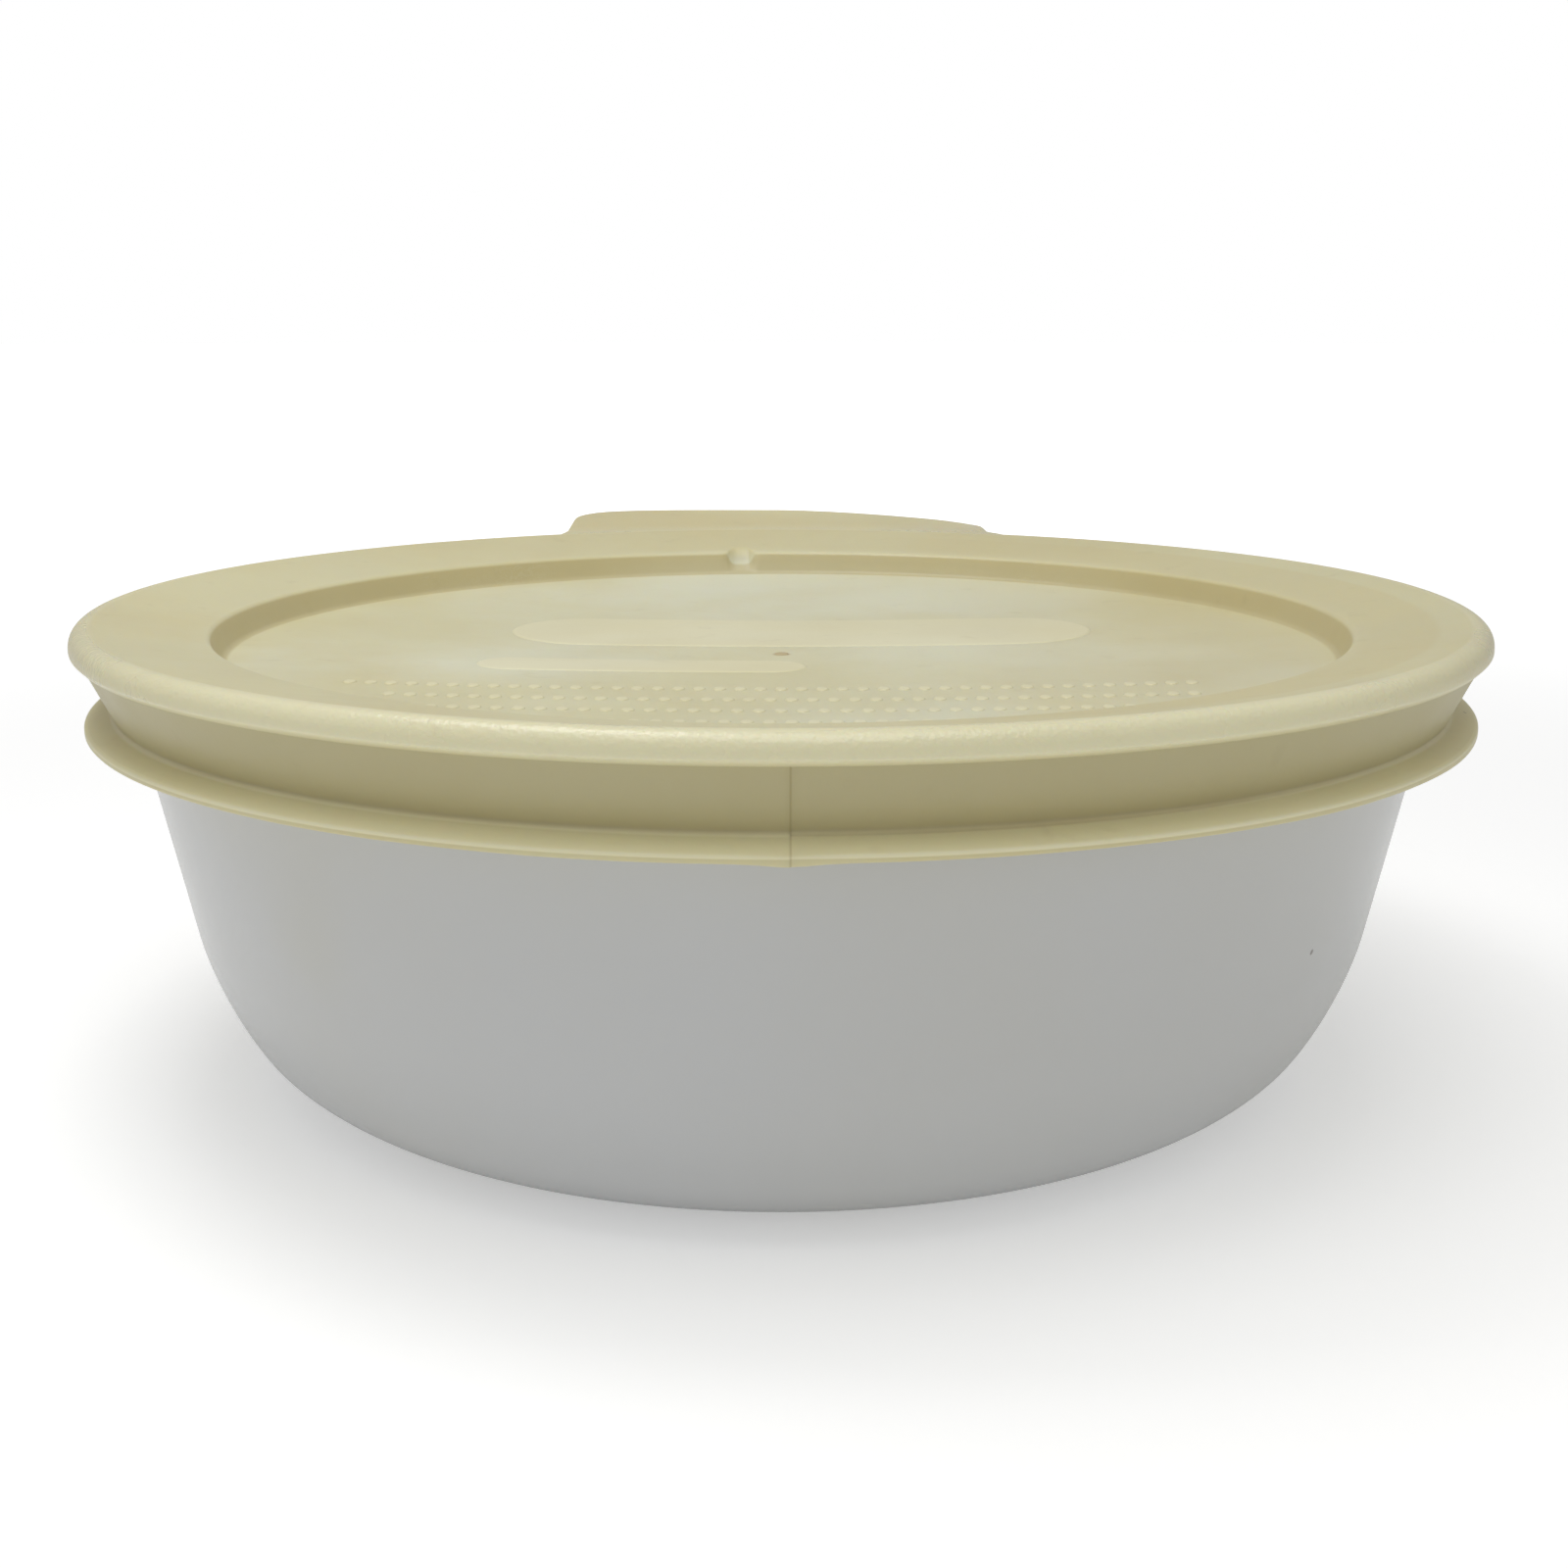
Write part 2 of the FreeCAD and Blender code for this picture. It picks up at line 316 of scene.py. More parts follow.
# half-section of one glass surface, from the axis out and up to the rim
def glassCorners(inset, floor):
    rimR, height = bowlHigh.x / mm - inset, bowlHigh.z / mm
    lowTurn, flank = 90 - bowl["kneeSplit"], 90 - bowl["draft"]
    lower = (bowl["lowerKnee"] - inset) * degTan(lowTurn / 2)
    upper = (bowl["upperKnee"] - inset) * degTan((flank - lowTurn) / 2)
    rimTurn = bowl["draft"] - bowl["rimDraft"]
    top = Vector((rimR, 0, height - bowl["wall"] / 2))
    bend = top - degDir(90 - bowl["rimDraft"]) * (bowl["rimCurve"] - inset) * degTan(rimTurn / 2)
    kneeZ = floor + (lower + upper) * degDir(lowTurn).z
    kneeR = bend.x - (bend.z - kneeZ) / degTan(flank)
    footR = kneeR - (lower + upper) * degDir(lowTurn).x
    return [
        (0, floor, 0, 0),
        (footR, floor, bowl["lowerKnee"] - inset, 14),
        (kneeR, kneeZ, bowl["upperKnee"] - inset, 10),
        (bend.x, bend.z, bowl["rimCurve"] - inset, 5)]


def makeBowl(material):
    height, rimR, half = bowlHigh.z / mm, bowlHigh.x / mm, bowl["wall"] / 2
    markIn, markOut = bowl["markR"] - bowl["markWidth"] / 2, bowl["markR"] + bowl["markWidth"] / 2
    outer, inner = glassCorners(0, 0), glassCorners(bowl["wall"], bowl["floor"])
    flank, soft = bowl["markFlank"], bowl["markRound"]
    mark = [(markIn, 0, soft, 2), (markIn + flank, bowl["markDepth"], soft, 2),
            (markOut - flank, bowl["markDepth"], soft, 2), (markOut, 0, soft, 2)]
    rim = [(rimR, height, half, 9), (rimR - bowl["wall"], height, half, 9)]
    bm = bmesh.new()
    drawProfile(bm, outer[:1] + mark + outer[1:] + rim + inner[::-1], bowl["longest"])
    turnProfile(bm)
    return finishPiece(bm, "glass_bowl", "bowl", "bowl", material)


def opalGlass():
    look = Finish(
        "opalGlass", bowl["white"], IOR=1.5, Subsurface_Weight=0.25,
        Subsurface_Radius=(1.0, 0.9, 0.8), Subsurface_Scale=0.004)
    look.tint(look.effect("blotches", Scale=18.0, Detail=2.0, Low=0.35, High=0.75), bowl["warm"], 0.5)
    look.tint(look.effect("blotches", Scale=30.0, Detail=1.0, Low=0.70, High=0.95), bowl["stain"], 0.3)
    look.tint(look.effect("specks", Scale=95.0, Size=0.042, Share=0.06), bowl["speck"], 0.7)
    look.roughen(look.effect("blotches", Scale=26.0, Detail=2.0, Low=0.2, High=0.8), 0.06, start=0.15)
    look.bump(look.effect("blotches", Scale=42.0, Detail=1.0, Low=0.0, High=1.0), 0.15, 0.0006)
    return look.done()


lid = {
    "wall": 1.0, "ringWall": 1.1, "ringSlope": 9.4, "seatR": 72.8, "seatGap": 0.3,
    "beadRound": 1.9, "beadLand": 0.35, "chamfer": 0.7, "step": 0.35, "skirtDepth": 6.5,
    "neckInnerR": 74.75, "creaseR": 75.865, "creaseRound": 0.5, "lipWidth": 3.1, "lipFall": 1.0,
    "lipEdge": 0.85, "edgeRound": 0.25, "recessTopR": 65.4, "recessRun": 1.2, "recessDepth": 3.1,
    "recessRound": 0.8, "tinyRound": 0.12, "longest": 2.0, "sag": 1.6, "sagFlat": 0.86,
    "seamX": 0.84, "seamWidth": 0.06, "seamShift": 0.14, "seamNick": 0.10, "seamDrop": 0.28,
    "seamFade": 2.8, "shiftEnds": (20, 60), "notchX": -6.1, "notchHalf": 2.4, "notchReach": 2.2,
    "notchSpan": 7.0, "notchFlat": 0.35, "notchCuts": 8, "topSkin": 0.5, "wavesRound": 1.3,
    "ringWave": 0.16, "lipWave": 0.12, "calmY": 60, "calm": 0.5, "translucent": 0.22,
    "shadedRightTo": 55, "litFront": (-30, -72), "seamLine": (0.03, 0.16),
    "cream": (0.76, 0.705, 0.435), "yellowed": (0.70, 0.60, 0.31), "bleached": (0.85, 0.845, 0.65),
    # in the next two lines the skirt and wall tones are painted shade and the pale tone after them a
    # painted highlight; the first dark tone is grime, also used as painted shade in the crease
    "skirtShade": (0.53, 0.475, 0.26), "wallShade": (0.58, 0.49, 0.24), "highlightTone": (0.95, 0.89, 0.60),
    "grimeAndShade": (0.36, 0.28, 0.12), "gate": (0.42, 0.27, 0.10), "speck": (0.10, 0.07, 0.03),
    "scratched": (0.80, 0.79, 0.66)}

beadR = lidHigh.x / mm
ringDrop = lid["ringWall"] / degDir(lid["ringSlope"]).x


def ringTop(r):
    seat = bowlHigh.z / mm + lid["seatGap"] + ringDrop
    return seat + (r - lid["seatR"]) * degTan(lid["ringSlope"])


panelZ = ringTop(lid["recessTopR"]) - lid["recessDepth"]
beadMidR = beadR - lid["beadRound"]
beadMidZ = ringTop(beadMidR) - lid["beadRound"] / degDir(lid["ringSlope"]).x
beadEdgeZ = beadMidZ - lid["beadLand"] - lid["chamfer"]
creaseZ = beadEdgeZ - lid["skirtDepth"]
lipR = lid["creaseR"] + lid["lipWidth"]
lipTopZ = creaseZ - lid["lipFall"]
lipLowZ = lipTopZ - lid["lipEdge"]
floorR = lid["recessTopR"] - lid["recessRun"]


def lidCorners():
    skirtR = beadR - lid["chamfer"] - lid["step"]
    run = (skirtR - lid["creaseR"]) / lid["skirtDepth"]
    channelR = lid["neckInnerR"] + run * (ringTop(beadR) - ringDrop - creaseZ)
    tiny, edge = lid["tinyRound"], lid["edgeRound"]
    outside = [
        (0, panelZ, 0, 0),
        (floorR, panelZ, lid["recessRound"], 5),
        (lid["recessTopR"], ringTop(lid["recessTopR"]), lid["recessRound"], 5),
        (beadR, ringTop(beadR), lid["beadRound"], 11),
        (beadR, beadEdgeZ + lid["chamfer"], tiny * 2, 2),
        (beadR - lid["chamfer"], beadEdgeZ, tiny, 3),
        (skirtR, beadEdgeZ, tiny, 2),
        (lid["creaseR"], creaseZ, lid["creaseRound"], 7),
        (lipR, lipTopZ, edge, 4),
        (lipR, lipLowZ, edge, 4)]
    inside = [
        (lid["neckInnerR"] + edge, creaseZ - lid["wall"], edge, 3),
        (lid["neckInnerR"], creaseZ, lid["creaseRound"], 4),
        (channelR, ringTop(channelR) - ringDrop, lid["creaseRound"], 6),
        (lid["recessTopR"] + lid["wall"], ringTop(lid["recessTopR"] + lid["wall"]) - ringDrop,
         lid["recessRound"] / 2, 4),
        (floorR + lid["wall"], panelZ - lid["wall"], lid["recessRound"], 5),
        (0, panelZ - lid["wall"], 0, 0)]
    return outside + inside


tab = {
    "columns": 18, "leftRoot": 3.0, "rightRoot": 5.0, "leftCorner": 5.0, "rightCorner": 7.0,
    "reach": 11.4, "thickness": 1.3, "topZ": lidHigh.z / mm - 0.05, "rightDroop": 2.0,
    "leftDroop": 0.5, "bandLow": 15.0, "bandHigh": 99.5, "blendOut": 0.16, "rootSteps": 12,
    "cornerSteps": 9, "nearRound": 0.1,
    "rows": (0.05, 0.11, 0.19, 0.29, 0.40, 0.52, 0.64, 0.75, 0.84, 0.91, 0.96, 1.0)}


# outline of one side, from the bead to the middle of the corner
def tabSide(sign, root, corner):
    angle = math.tau / turns * tab["columns"]
    reach = beadR + root
    centre = Vector((reach * math.sin(angle), reach * math.cos(angle)))
    half, endY, points = centre.x - root, beadR + tab["reach"], []
    fromBead = math.atan2(-centre.y, -centre.x) + math.tau
    for i in range(tab["rootSteps"] + 1):    # hollow root
        a = fromBead + (math.pi - fromBead) * i / tab["rootSteps"]
        points.append(centre + Vector((math.cos(a), math.sin(a))) * root)
    for i in range(tab["cornerSteps"] + 1):  # first half of the corner
        a = math.radians(45) * i / tab["cornerSteps"]
        points.append(Vector((half - corner, endY - corner)) + Vector((math.cos(a), math.sin(a))) * corner)
    return [Vector((sign * p.x, p.y)) for p in points]


# outline of the end, from the middle of one corner to the middle of the other
def tabEnd(leftCorner, rightCorner, leftMid, rightMid):
    endY, points, steps = beadR + tab["reach"], [], tab["cornerSteps"]
    for mid, corner, sign in ((leftMid, leftCorner, -1), (rightMid, rightCorner, 1)):
        centre = Vector((mid.x - sign * corner * math.cos(math.radians(45)), endY - corner))
        arc = [centre + Vector((sign * math.cos(a), math.sin(a))) * corner
               for a in (math.radians(45 + 45 * i / steps) for i in range(steps + 1))]
        points += arc if sign < 0 else arc[::-1]
    return points


def along(points, share):
    steps = [(b - a).length for a, b in zip(points, points[1:])]
    left = share * sum(steps)
    for a, b, step in zip(points, points[1:], steps):
        if left <= step or b is points[-1]:
            return a.lerp(b, min(left / step, 1) if step else 0)
        left -= step


def makeTabMap():
    left = tabSide(-1, tab["leftRoot"], tab["leftCorner"])
    right = tabSide(1, tab["rightRoot"], tab["rightCorner"])
    end = tabEnd(tab["leftCorner"], tab["rightCorner"], left[-1], right[-1])
    spread = math.tau / turns * tab["columns"]

    def plan(s, t):           # s runs -1..1 across the tab, t runs 0..1 from bead to end
        u = (s + 1) / 2
        root = Vector((beadR * math.sin(s * spread), beadR * math.cos(s * spread)))
        across = along(left, t) * (1 - u) + along(right, t) * u
        outward = root * (1 - t) + along(end, u) * t
        corners = (left[0] * (1 - u) + right[0] * u) * (1 - t) + (left[-1] * (1 - u) + right[-1] * u) * t
        return across + outward - corners

    def place(s, w, t):       # w runs 0 at the top face to 1 at the underside
        flat, step = plan(s, t), 0.01
        side = Vector((0, 0))
        if t >= 1:
            ahead = plan(min(s + step, 1), 1) - plan(max(s - step, -1), 1)
            side = Vector((-ahead.y, ahead.x)).normalized()
        elif abs(s) >= 1:
            ahead = plan(s, min(t + step, 1)) - plan(s, max(t - step, 0))
            side = Vector((ahead.y, -ahead.x)).normalized() * (1 if s > 0 else -1)
        bulge = tab["thickness"] / 2 * math.sin(math.pi * w)
        flat = flat + side * bulge
        droop = tab["rightDroop"] * max(s, 0) ** 1.6 + tab["leftDroop"] * max(-s, 0) ** 5
        crest = beadMidZ + lid["beadRound"]
        top = crest + (tab["topZ"] - droop - crest) * t
        fall = tab["thickness"] * (1 - math.cos(math.pi * w)) / 2
        return Vector((flat.x, flat.y, top - fall))

    return place


# draws the tab out of the bead's upper side, row by row; a float layer pair keeps each point's
# place across the tab and down its thickness, because the extruded rows inherit them
def growTab(bm):
    spread = math.tau / turns * tab["columns"]
    across, down = bm.verts.layers.float.new("across"), bm.verts.layers.float.new("down")
    band = []
    for face in bm.faces:
        c = face.calc_center_median()
        r, a = math.hypot(c.x, c.y), math.atan2(c.x, c.y)
        rise = math.degrees(math.atan2(c.z - beadMidZ, r - beadMidR))
        offRound = abs(math.hypot(c.z - beadMidZ, r - beadMidR) - lid["beadRound"])
        inBand = tab["bandLow"] < rise < tab["bandHigh"] and r > beadMidR - 0.5
        if abs(a) < spread and inBand and offRound < tab["nearRound"]:
            band.append(face)
    verts = pointsOf(band)
    rises = {v: math.degrees(math.atan2(v.co.z - beadMidZ, math.hypot(v.co.x, v.co.y) - beadMidR))
             for v in verts}
    high, low = max(rises.values()), min(rises.values())
    for v in verts:
        v[across] = math.atan2(v.co.x, v.co.y) / spread
        v[down] = (high - rises[v]) / (high - low)
    place, starts = makeTabMap(), {}
    for v in verts:
        starts[(round(v[across], 3), round(v[down], 3))] = v.co.copy()
    for t in tab["rows"]:
        grown = bmesh.ops.extrude_face_region(bm, geom=band)["geom"]
        bmesh.ops.delete(bm, geom=band, context="FACES")
        band = [g for g in grown if isinstance(g, bmesh.types.BMFace)]
        for v in (g for g in grown if isinstance(g, bmesh.types.BMVert)):
            s, w = v[across], v[down]
            s = max(-1, min(1, s)) if abs(abs(s) - 1) > 0.002 else math.copysign(1, s)
            w = max(0, min(1, w))
            start = starts[(round(v[across], 3), round(v[down], 3))]
            v.co = start.lerp(place(s, w, t), smooth(0, tab["blendOut"], t))


# cuts the faces that keep() picks along planes of constant x
def cutColumns(bm, xs, keep):
    for x in xs:
        near = [f for f in bm.faces if keep(f.calc_center_median())]
        edges = list(dict.fromkeys(e for f in near for e in f.edges))
        bmesh.ops.bisect_plane(
            bm, geom=near + edges + pointsOf(near), dist=0.0005, plane_co=(x, 0, 0), plane_no=(1, 0, 0))


def sagAt(r):                 # how far the panel hangs below its rim
    return lid["sag"] * (1 - (r / floorR) ** 2) * smooth(1.0, lid["sagFlat"], r / floorR)


# sag, mould seam, notch and the slight waviness of an old flexible lid
def shapeLid(bm):
    seam, notchEnd = lid["seamX"], lid["notchHalf"]
    steep = lid["recessDepth"] / lid["recessRun"]
    for v in bm.verts:
        x, y, z = v.co
        r = math.hypot(x, y)
        if r < floorR:
            z -= sagAt(r)
        beside = abs(x - lid["notchX"])
        skin = min(panelZ + max(r - floorR, 0) * steep, ringTop(r)) - lid["topSkin"]
        if y > 0 and beside < notchEnd and floorR - 0.4 < r < floorR + lid["notchSpan"] and z > skin:
            high = min(max((z - panelZ) / lid["recessDepth"], 0), 1)
            past = smooth(floorR + lid["notchSpan"], lid["recessTopR"], r)
            out = lid["notchReach"] * high * past * (1 - smooth(lid["notchFlat"], 1.0, beside / notchEnd))
            x, y, z = x * (1 + out / r), y * (1 + out / r), z + out * degTan(lid["ringSlope"]) * high
            r += out
        if y < 0 and r > lid["neckInnerR"] + 0.4 and z < beadEdgeZ - 0.02:
            back = lid["seamShift"] * smooth(seam, seam + lid["seamWidth"], x)
            back *= 1 - smooth(*lid["shiftEnds"], x - seam)
            nick = lid["seamNick"] * smooth(lid["seamWidth"], 0, abs(x - seam))
            x, y = x * (1 - (back + nick) / r), y * (1 - (back + nick) / r)
        if y < 0 and r > lid["neckInnerR"] and z < creaseZ:
            dip = math.exp(-((x - seam) / lid["seamFade"]) ** 2)
            z -= lid["seamDrop"] * dip * smooth(creaseZ, lipLowZ, z)
        if r > floorR:
            heading = Vector((x, y, 0)).normalized() * lid["wavesRound"]
            wave = noise.noise(heading + Vector((7, 3, 1))) * lid["ringWave"]
            lipWave = noise.noise(heading * 3 + Vector((2, 9, 4))) * lid["lipWave"]
            wave *= 1 if y < lid["calmY"] else lid["calm"]     # less wavy beside the tab
            z += wave * smooth(floorR, beadR, r) + lipWave * smooth(creaseZ, lipLowZ, z)
        v.co = (x, y, z)


def makeLid(material):
    bm = bmesh.new()
    drawProfile(bm, lidCorners(), lid["longest"])
    turnProfile(bm)
    growTab(bm)
    seam, wide, notch = lid["seamX"], lid["seamWidth"], lid["notchX"]
    cutColumns(bm, (seam - wide, seam, seam + wide),
               lambda c: c.y < 0 and c.z < beadEdgeZ + 1 and math.hypot(c.x, c.y) > lid["neckInnerR"])
    cuts, half = lid["notchCuts"], lid["notchHalf"]
    cutColumns(bm, [notch + half * (2 * i / cuts - 1) for i in range(cuts + 1)],
               lambda c: c.y > 0 and abs(c.x - notch) < 4 and c.z > panelZ - 0.05
               and floorR - 2 < math.hypot(c.x, c.y) < lid["recessTopR"] + 5)
    shapeLid(bm)
    bmesh.ops.recalc_face_normals(bm, faces=bm.faces[:])
    return finishPiece(bm, "moulded_lid", "lid", "lid", material)


relief = {
    "height": 0.13, "sink": 0.10, "skin": 0.06, "pipRows": (-24.5, -31.5, -38.5, -45.5),
    "pipStep": 2.2, "pipHalf": (0.72, 1.15), "rowMargin": 12.0, "gateR": 0.9, "gateHeight": 0.16,
    # the last value in the next line is how far a painted highlight makes the raised relief paler
    "pipSides": 14, "plateSides": 48, "plateStrip": 3.0, "reliefHighlight": 0.45,
    "pipShoulder": ((0.03, 0.55), (0.12, 0.35), (0.16, 0.10)),       # inset and share of the rise
    "plateShoulder": ((0.08, 0.5), (0.30, 0.4), (0.40, 0.1)),
    "plates": ((2.5, 15.5, 36.5, 10.0), (-16.0, -9.0, 19.0, 4.2))}   # middle x and y, half sides


# insets the faces and lifts them, so that the raised shape has a soft shoulder
def raiseInSteps(bm, faces, steps, tall):
    for inset, share in steps:
        bmesh.ops.inset_region(bm, faces=faces, thickness=inset, use_even_offset=True, use_boundary=True)
        bmesh.ops.translate(bm, verts=pointsOf(faces), vec=(0, 0, share * tall))


def addPip(bm, x, y, halfX, halfY, height):
    base = bmesh.ops.create_circle(bm, cap_ends=True, radius=1, segments=relief["pipSides"])["verts"]
    bmesh.ops.scale(bm, vec=(halfX, halfY, 1), verts=base)
    bmesh.ops.translate(bm, verts=base, vec=(x, y, 0))
    raiseInSteps(bm, base[0].link_faces[:], relief["pipShoulder"], relief["sink"] + height)


# a blank raised plate with round ends, cut into strips so that it can follow the sag
def addPlate(bm, midX, midY, half, deep):
    sides = relief["plateSides"]
    rim = bmesh.ops.create_circle(bm, cap_ends=True, radius=deep, segments=sides)["verts"]
    bmesh.ops.rotate(bm, verts=rim, matrix=Matrix.Rotation(math.pi / sides, 3, "Z"))
    for v in rim:
        v.co.x += math.copysign(half - deep, v.co.x)
    bmesh.ops.translate(bm, verts=rim, vec=(midX, midY, 0))
    raiseInSteps(bm, rim[0].link_faces[:], relief["plateShoulder"], relief["sink"] + relief["height"])
    strips = int(2 * half / relief["plateStrip"])
    cutColumns(bm, [midX + half * (2 * i / strips - 1) for i in range(1, strips)],
               lambda c: abs(c.x - midX) < half and abs(c.y - midY) < deep)


# moulded relief on the panel: blank plates, rows of pips and the gate's stub
def makeRelief(material):
    bm = bmesh.new()
    for plate in relief["plates"]:
        addPlate(bm, *plate)
    for row, y in enumerate(relief["pipRows"]):
        reach = math.sqrt(floorR ** 2 - y ** 2) - relief["rowMargin"]
        count = int(reach / relief["pipStep"])
        for i in range(-count, count + row % 2):
            addPip(bm, (i + 0.5 * (row % 2)) * relief["pipStep"], y, *relief["pipHalf"], relief["height"])
    addPip(bm, 0, 0, relief["gateR"], relief["gateR"], relief["gateHeight"])
    bmesh.ops.recalc_face_normals(bm, faces=bm.faces[:])
    bmesh.ops.solidify(bm, geom=bm.faces[:], thickness=relief["skin"])
    bmesh.ops.recalc_face_normals(bm, faces=bm.faces[:])
    for v in bm.verts:
        v.co.z += panelZ - sagAt(math.hypot(v.co.x, v.co.y)) - relief["sink"]
    return finishPiece(bm, "lid_relief", "lid", None, material)


lidZones = {                  # inner and outer radius, bottom, top and soft edge, in mm
    "panel": (0, floorR, panelZ - 3, panelZ + 1, 4),
    "deck": (0, lid["neckInnerR"] - 1, panelZ - 3, beyond, 1),
    "gate": (0, 0.7, panelZ - 3, beyond, 0.6),
    "skirt": (lid["creaseR"], beyond, creaseZ + 0.4, beadEdgeZ - 0.1, 0.3),
    "crease": (lid["creaseR"] - 0.365, lid["creaseR"] + 1.635, creaseZ - 0.4, creaseZ + 1, 0.8),
    "wall": (floorR - 0.2, lid["recessTopR"] - 0.1, panelZ - 0.2, panelZ + lid["recessDepth"] - 0.5, 0.5),
    "bead": (beadMidR, beyond, beadMidZ - 0.4, beadMidZ + 1.7, 0.7),
    "flange": (lid["creaseR"] + 0.35, beyond, lipTopZ - 0.2, creaseZ + 0.05, 0.2),
    "lipEdge": (lipR - 0.35, beyond, lipTopZ - 0.22, lipTopZ + 0.12, 0.12)}


# the value after the name paints a highlight that makes the raised relief paler, translucent says how much
# light goes through
def creamPolythene(name, reliefHighlight, translucent):
    look = Finish(
        name, lid["cream"], IOR=1.51, Subsurface_Weight=translucent,
        Subsurface_Radius=(1.0, 0.75, 0.35), Subsurface_Scale=0.0022)
    tree, zone = look.tree, {key: look.zone(*limits) for key, limits in lidZones.items()}
    parts = addNode(tree, "ShaderNodeSeparateXYZ")
    tree.links.new(look.position, parts.inputs[0])
    x, y, z = parts.outputs

    # ageing, with painted shade and painted highlights
    look.tint(look.effect("blotches", Scale=20.0, Detail=5.0, Low=0.38, High=0.70), lid["yellowed"], 0.55)
    bleach = look.effect("blotches", Scale=14.0, Detail=6.0, Low=0.36, High=0.62)
    look.tint(addMath(tree, "MULTIPLY", bleach, zone["panel"]), lid["bleached"], 0.85)
    # painted shade: the deck yellower and darker towards +x
    shadedRight = ramp(tree, x, 0.0, lid["shadedRightTo"] * mm)
    look.tint(addMath(tree, "MULTIPLY", zone["deck"], shadedRight), lid["yellowed"], 0.4)
    # painted highlight: the raised relief tinted paler all over
    if reliefHighlight:
        look.tint(zone["panel"], lid["highlightTone"], reliefHighlight)
    # painted shade on the skirt under the bead
    look.tint(zone["skirt"], lid["skirtShade"], 0.8)
    # grime and painted shade darken the crease
    creaseGrimeAndShade = look.effect("blotches", Scale=90.0, Detail=5.0, Low=0.30, High=0.72)
    look.tint(addMath(tree, "MULTIPLY", zone["crease"], creaseGrimeAndShade), lid["grimeAndShade"], 0.06)
    # painted shade on the recess wall
    look.tint(zone["wall"], lid["wallShade"], 0.7)
    # painted highlights on the bead, the flange and the lip's edge, strongest at the front
    front = ramp(tree, y, *(limit * mm for limit in lid["litFront"]))     # most at the front
    front = addMath(tree, "ADD", addMath(tree, "MULTIPLY", front, 0.6), 0.4)
    for key, amount in (("bead", 0.95), ("flange", 0.95), ("lipEdge", 1.0)):
        look.tint(addMath(tree, "MULTIPLY", zone[key], front), lid["highlightTone"], amount)
    look.tint(look.effect("blotches", Scale=260.0, Detail=4.0, Low=0.60, High=0.78), lid["grimeAndShade"], 0.10)

    # scratches, specks, the gate's mark and the mould seam
    scratch = look.effect("scratches", Scale=34.0, Turn=0.35, Amount=0.020)
    crossed = look.effect("scratches", Scale=26.0, Turn=2.2, Amount=0.014)
    marks = addMath(tree, "MULTIPLY", addMath(tree, "MAXIMUM", scratch, crossed), zone["panel"])
    look.tint(marks, lid["scratched"], 0.30)
    look.tint(look.effect("specks", Scale=120.0, Size=0.045, Share=0.09), lid["speck"], 0.8)
    look.tint(zone["gate"], lid["gate"], 0.6)
    aside = addMath(tree, "ABSOLUTE", addMath(tree, "SUBTRACT", x, lid["seamX"] * mm))
    line = addMath(tree, "SUBTRACT", 1.0, ramp(tree, aside, *(w * mm for w in lid["seamLine"])))
    line = addMath(tree, "MULTIPLY", line, addMath(tree, "LESS_THAN", y, -lid["neckInnerR"] * mm))
    low = addMath(tree, "LESS_THAN", z, (beadEdgeZ - 0.02) * mm)
    look.tint(addMath(tree, "MULTIPLY", line, low), lid["grimeAndShade"], 0.28)

    # gloss and surface
    look.roughen(look.effect("blotches", Scale=50.0, Detail=5.0, Low=0.3, High=0.7), 0.12, start=0.36)
    look.roughen(marks, 0.15)
    look.roughen(zone["bead"], -0.14)
    look.bump(look.effect("blotches", Scale=40.0, Detail=3.0, Low=0.0, High=1.0), 0.30, 0.0008)
    grain = addMath(tree, "ADD", addMath(tree, "MULTIPLY", zone["bead"], 0.8), 0.2)
    look.bump(addMath(tree, "MULTIPLY", look.effect("stipple", Scale=2800.0), grain), 0.55, 0.00009)
    return look.done()


stageLook = {
    "floorR": 6.0, "floorSides": 96, "floorTone": (0.94, 0.94, 0.935), "fadeEnd": 0.75,
    "fadeLength": 0.6, "fill": 0.36, "glow": 0.34, "bounce": 0.10}
softboxes = {                 # place, side and power
    "overhead": ((-0.03, -0.17, 0.75), 0.55, 1.82),
    "leftLamp": ((-0.10, 0.0, 0.32), 0.12, 0.18)}
cameraLook = {"place": (0.0003, -0.240, 0.0866), "tilt": 0.2267, "lens": 46.85, "sensor": 36.0}


def aimAt(thing, place, target):
    thing.location = place
    thing.rotation_euler = (Vector(target) - Vector(place)).to_track_quat("-Z", "Y").to_euler()


def addSoftbox(name, place, size, power):
    light = bpy.data.lights.new(name, "AREA")
    light.shape, light.size, light.energy = "SQUARE", size, power
    box = bpy.data.objects.new(name, light)
    box.visible_camera = False
    bpy.context.scene.collection.objects.link(box)
    aimAt(box, place, (0, 0, bowlHigh.z / 2))


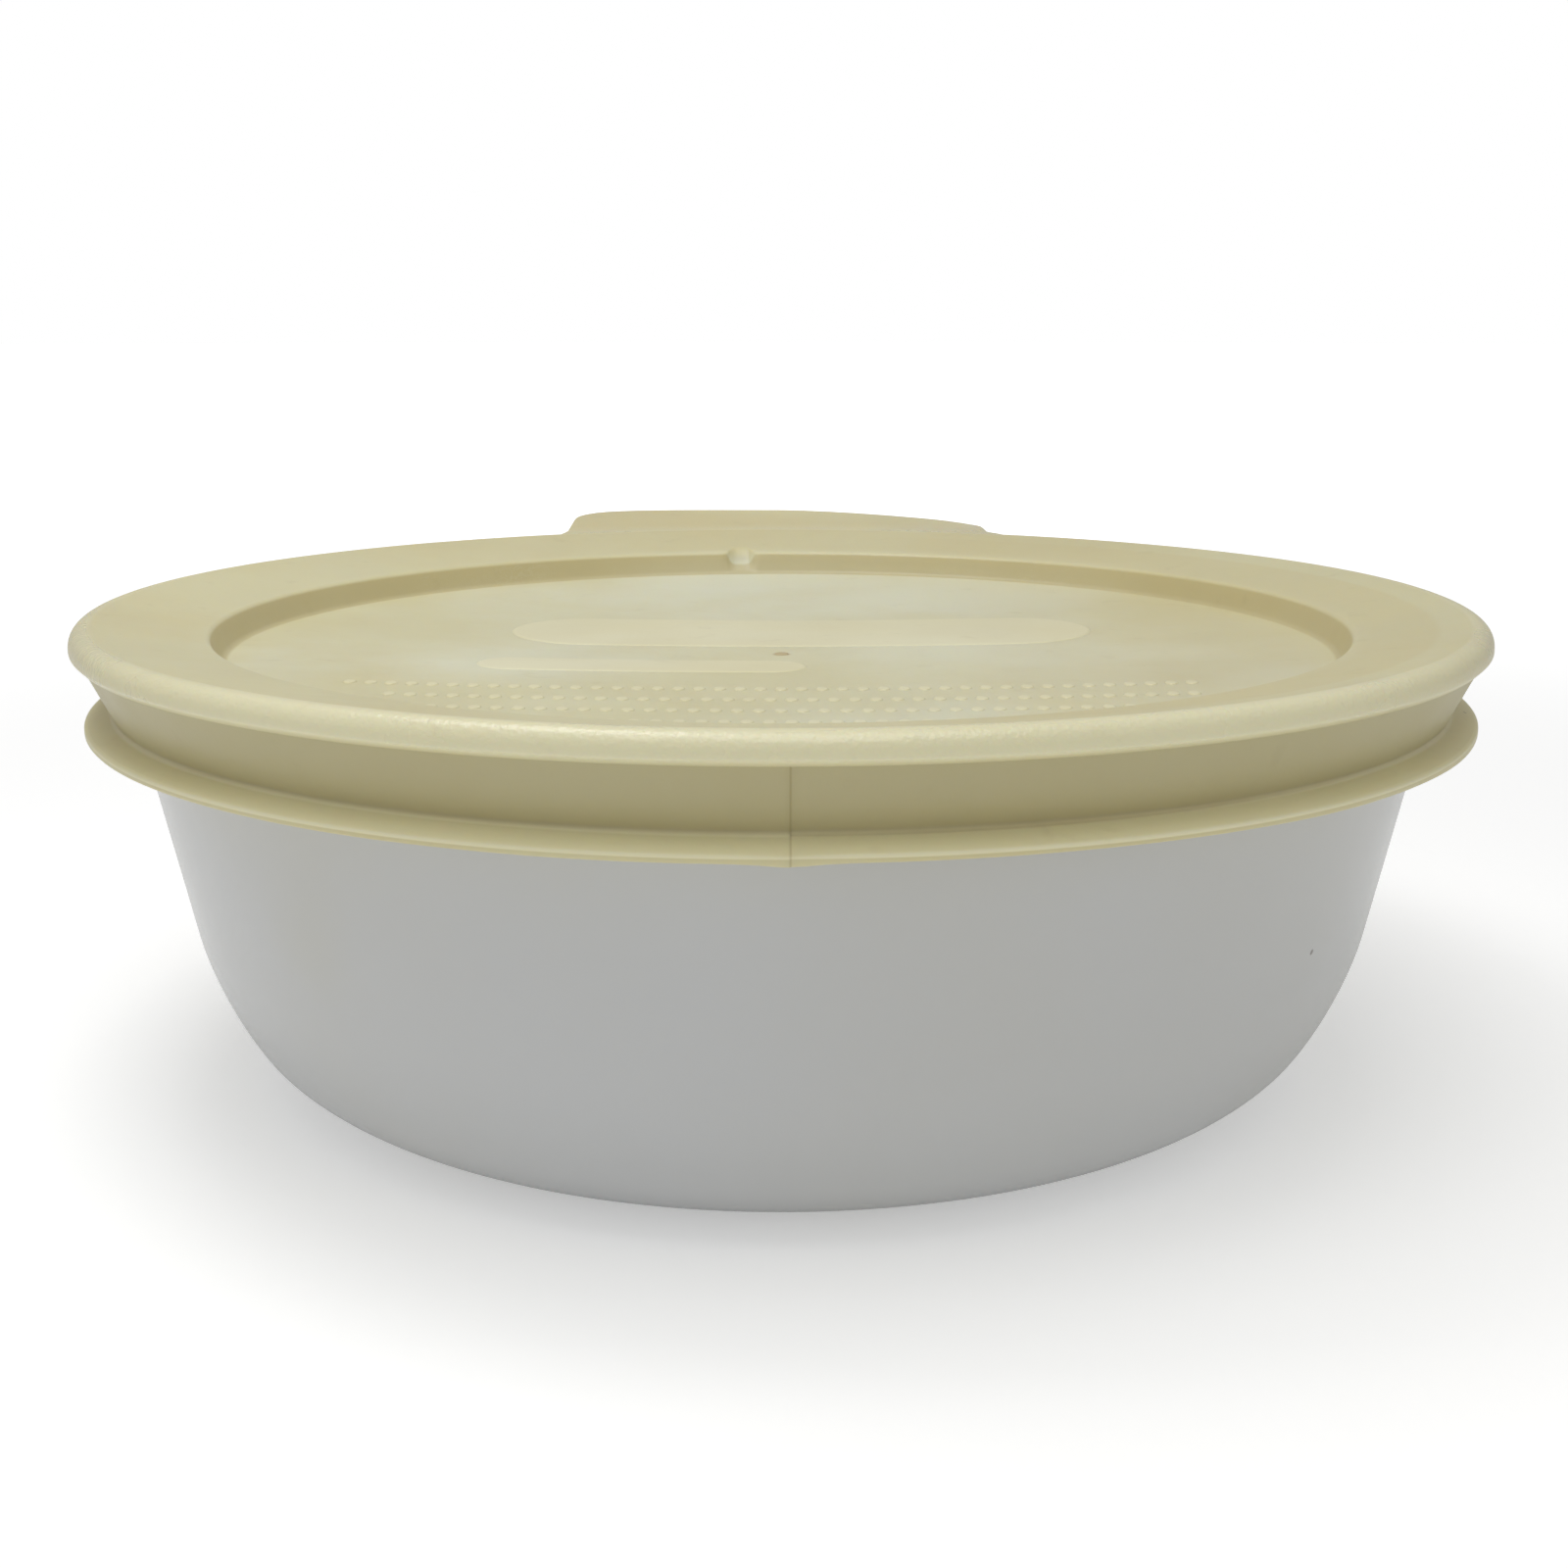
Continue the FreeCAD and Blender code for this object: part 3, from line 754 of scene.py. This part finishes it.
def makeFloor():
    bm = bmesh.new()
    bmesh.ops.create_circle(
        bm, cap_ends=True, radius=stageLook["floorR"], segments=stageLook["floorSides"])
    mesh = bpy.data.meshes.new("pale_floor")
    bm.to_mesh(mesh)
    bm.free()
    floor = bpy.data.objects.new("pale_floor", mesh)
    bpy.context.scene.collection.objects.link(floor)
    look = Finish("paleFloor", stageLook["floorTone"], Roughness=0.9, Emission_Strength=1.0)
    away = look.effect(
        "ringZone", Inner=stageLook["fadeEnd"], Outer=100.0, Softness=stageLook["fadeLength"])
    glow = addNode(look.tree, "ShaderNodeMix", {"data_type": "RGBA"})
    look.tree.links.new(away, glow.inputs[0])
    near = stageLook["glow"]
    glow.inputs[6].default_value = (near, near, near, 1)
    glow.inputs[7].default_value = (1, 1, 1, 1)
    seen = addNode(look.tree, "ShaderNodeMix", {"data_type": "RGBA"})
    rays = look.tree.nodes.new("ShaderNodeLightPath")
    look.tree.links.new(rays.outputs["Is Camera Ray"], seen.inputs[0])
    bounce = stageLook["bounce"]
    seen.inputs[6].default_value = (bounce, bounce, bounce, 1)
    look.tree.links.new(glow.outputs[2], seen.inputs[7])
    look.tree.links.new(seen.outputs[2], look.shader.inputs["Emission Color"])
    mesh.materials.append(look.done())


def setStage():
    makeFloor()
    for name, (place, size, power) in softboxes.items():
        addSoftbox(name, place, size, power)
    world = bpy.data.worlds.new("studio")
    world.use_nodes = True
    tree = world.node_tree
    sky = tree.nodes["Background"]
    seen = tree.nodes.new("ShaderNodeLightPath").outputs["Is Camera Ray"]
    level = addMath(tree, "ADD", stageLook["fill"], addMath(
        tree, "MULTIPLY", seen, 1 - stageLook["fill"]))
    tree.links.new(level, sky.inputs["Strength"])
    sky.inputs["Color"].default_value = (1, 1, 1, 1)
    bpy.context.scene.world = world


def setCamera():
    data = bpy.data.cameras.new("camera")
    data.lens, data.sensor_width = cameraLook["lens"], cameraLook["sensor"]
    camera = bpy.data.objects.new("camera", data)
    camera.location = cameraLook["place"]
    camera.rotation_euler = (math.pi / 2 - cameraLook["tilt"], 0, 0)
    bpy.context.scene.collection.objects.link(camera)
    bpy.context.scene.camera = camera


setCamera()
setStage()
print("stage and camera ready")
makeBowl(opalGlass())
print("bowl ready")
makeLid(creamPolythene("creamPolythene", reliefHighlight=0, translucent=lid["translucent"]))
print("lid ready")
# the relief's material carries a painted highlight that makes it paler
makeRelief(creamPolythene("highlightedRelief", reliefHighlight=relief["reliefHighlight"], translucent=0))
print("relief ready")
bpy.context.scene.view_settings.view_transform = "Standard"
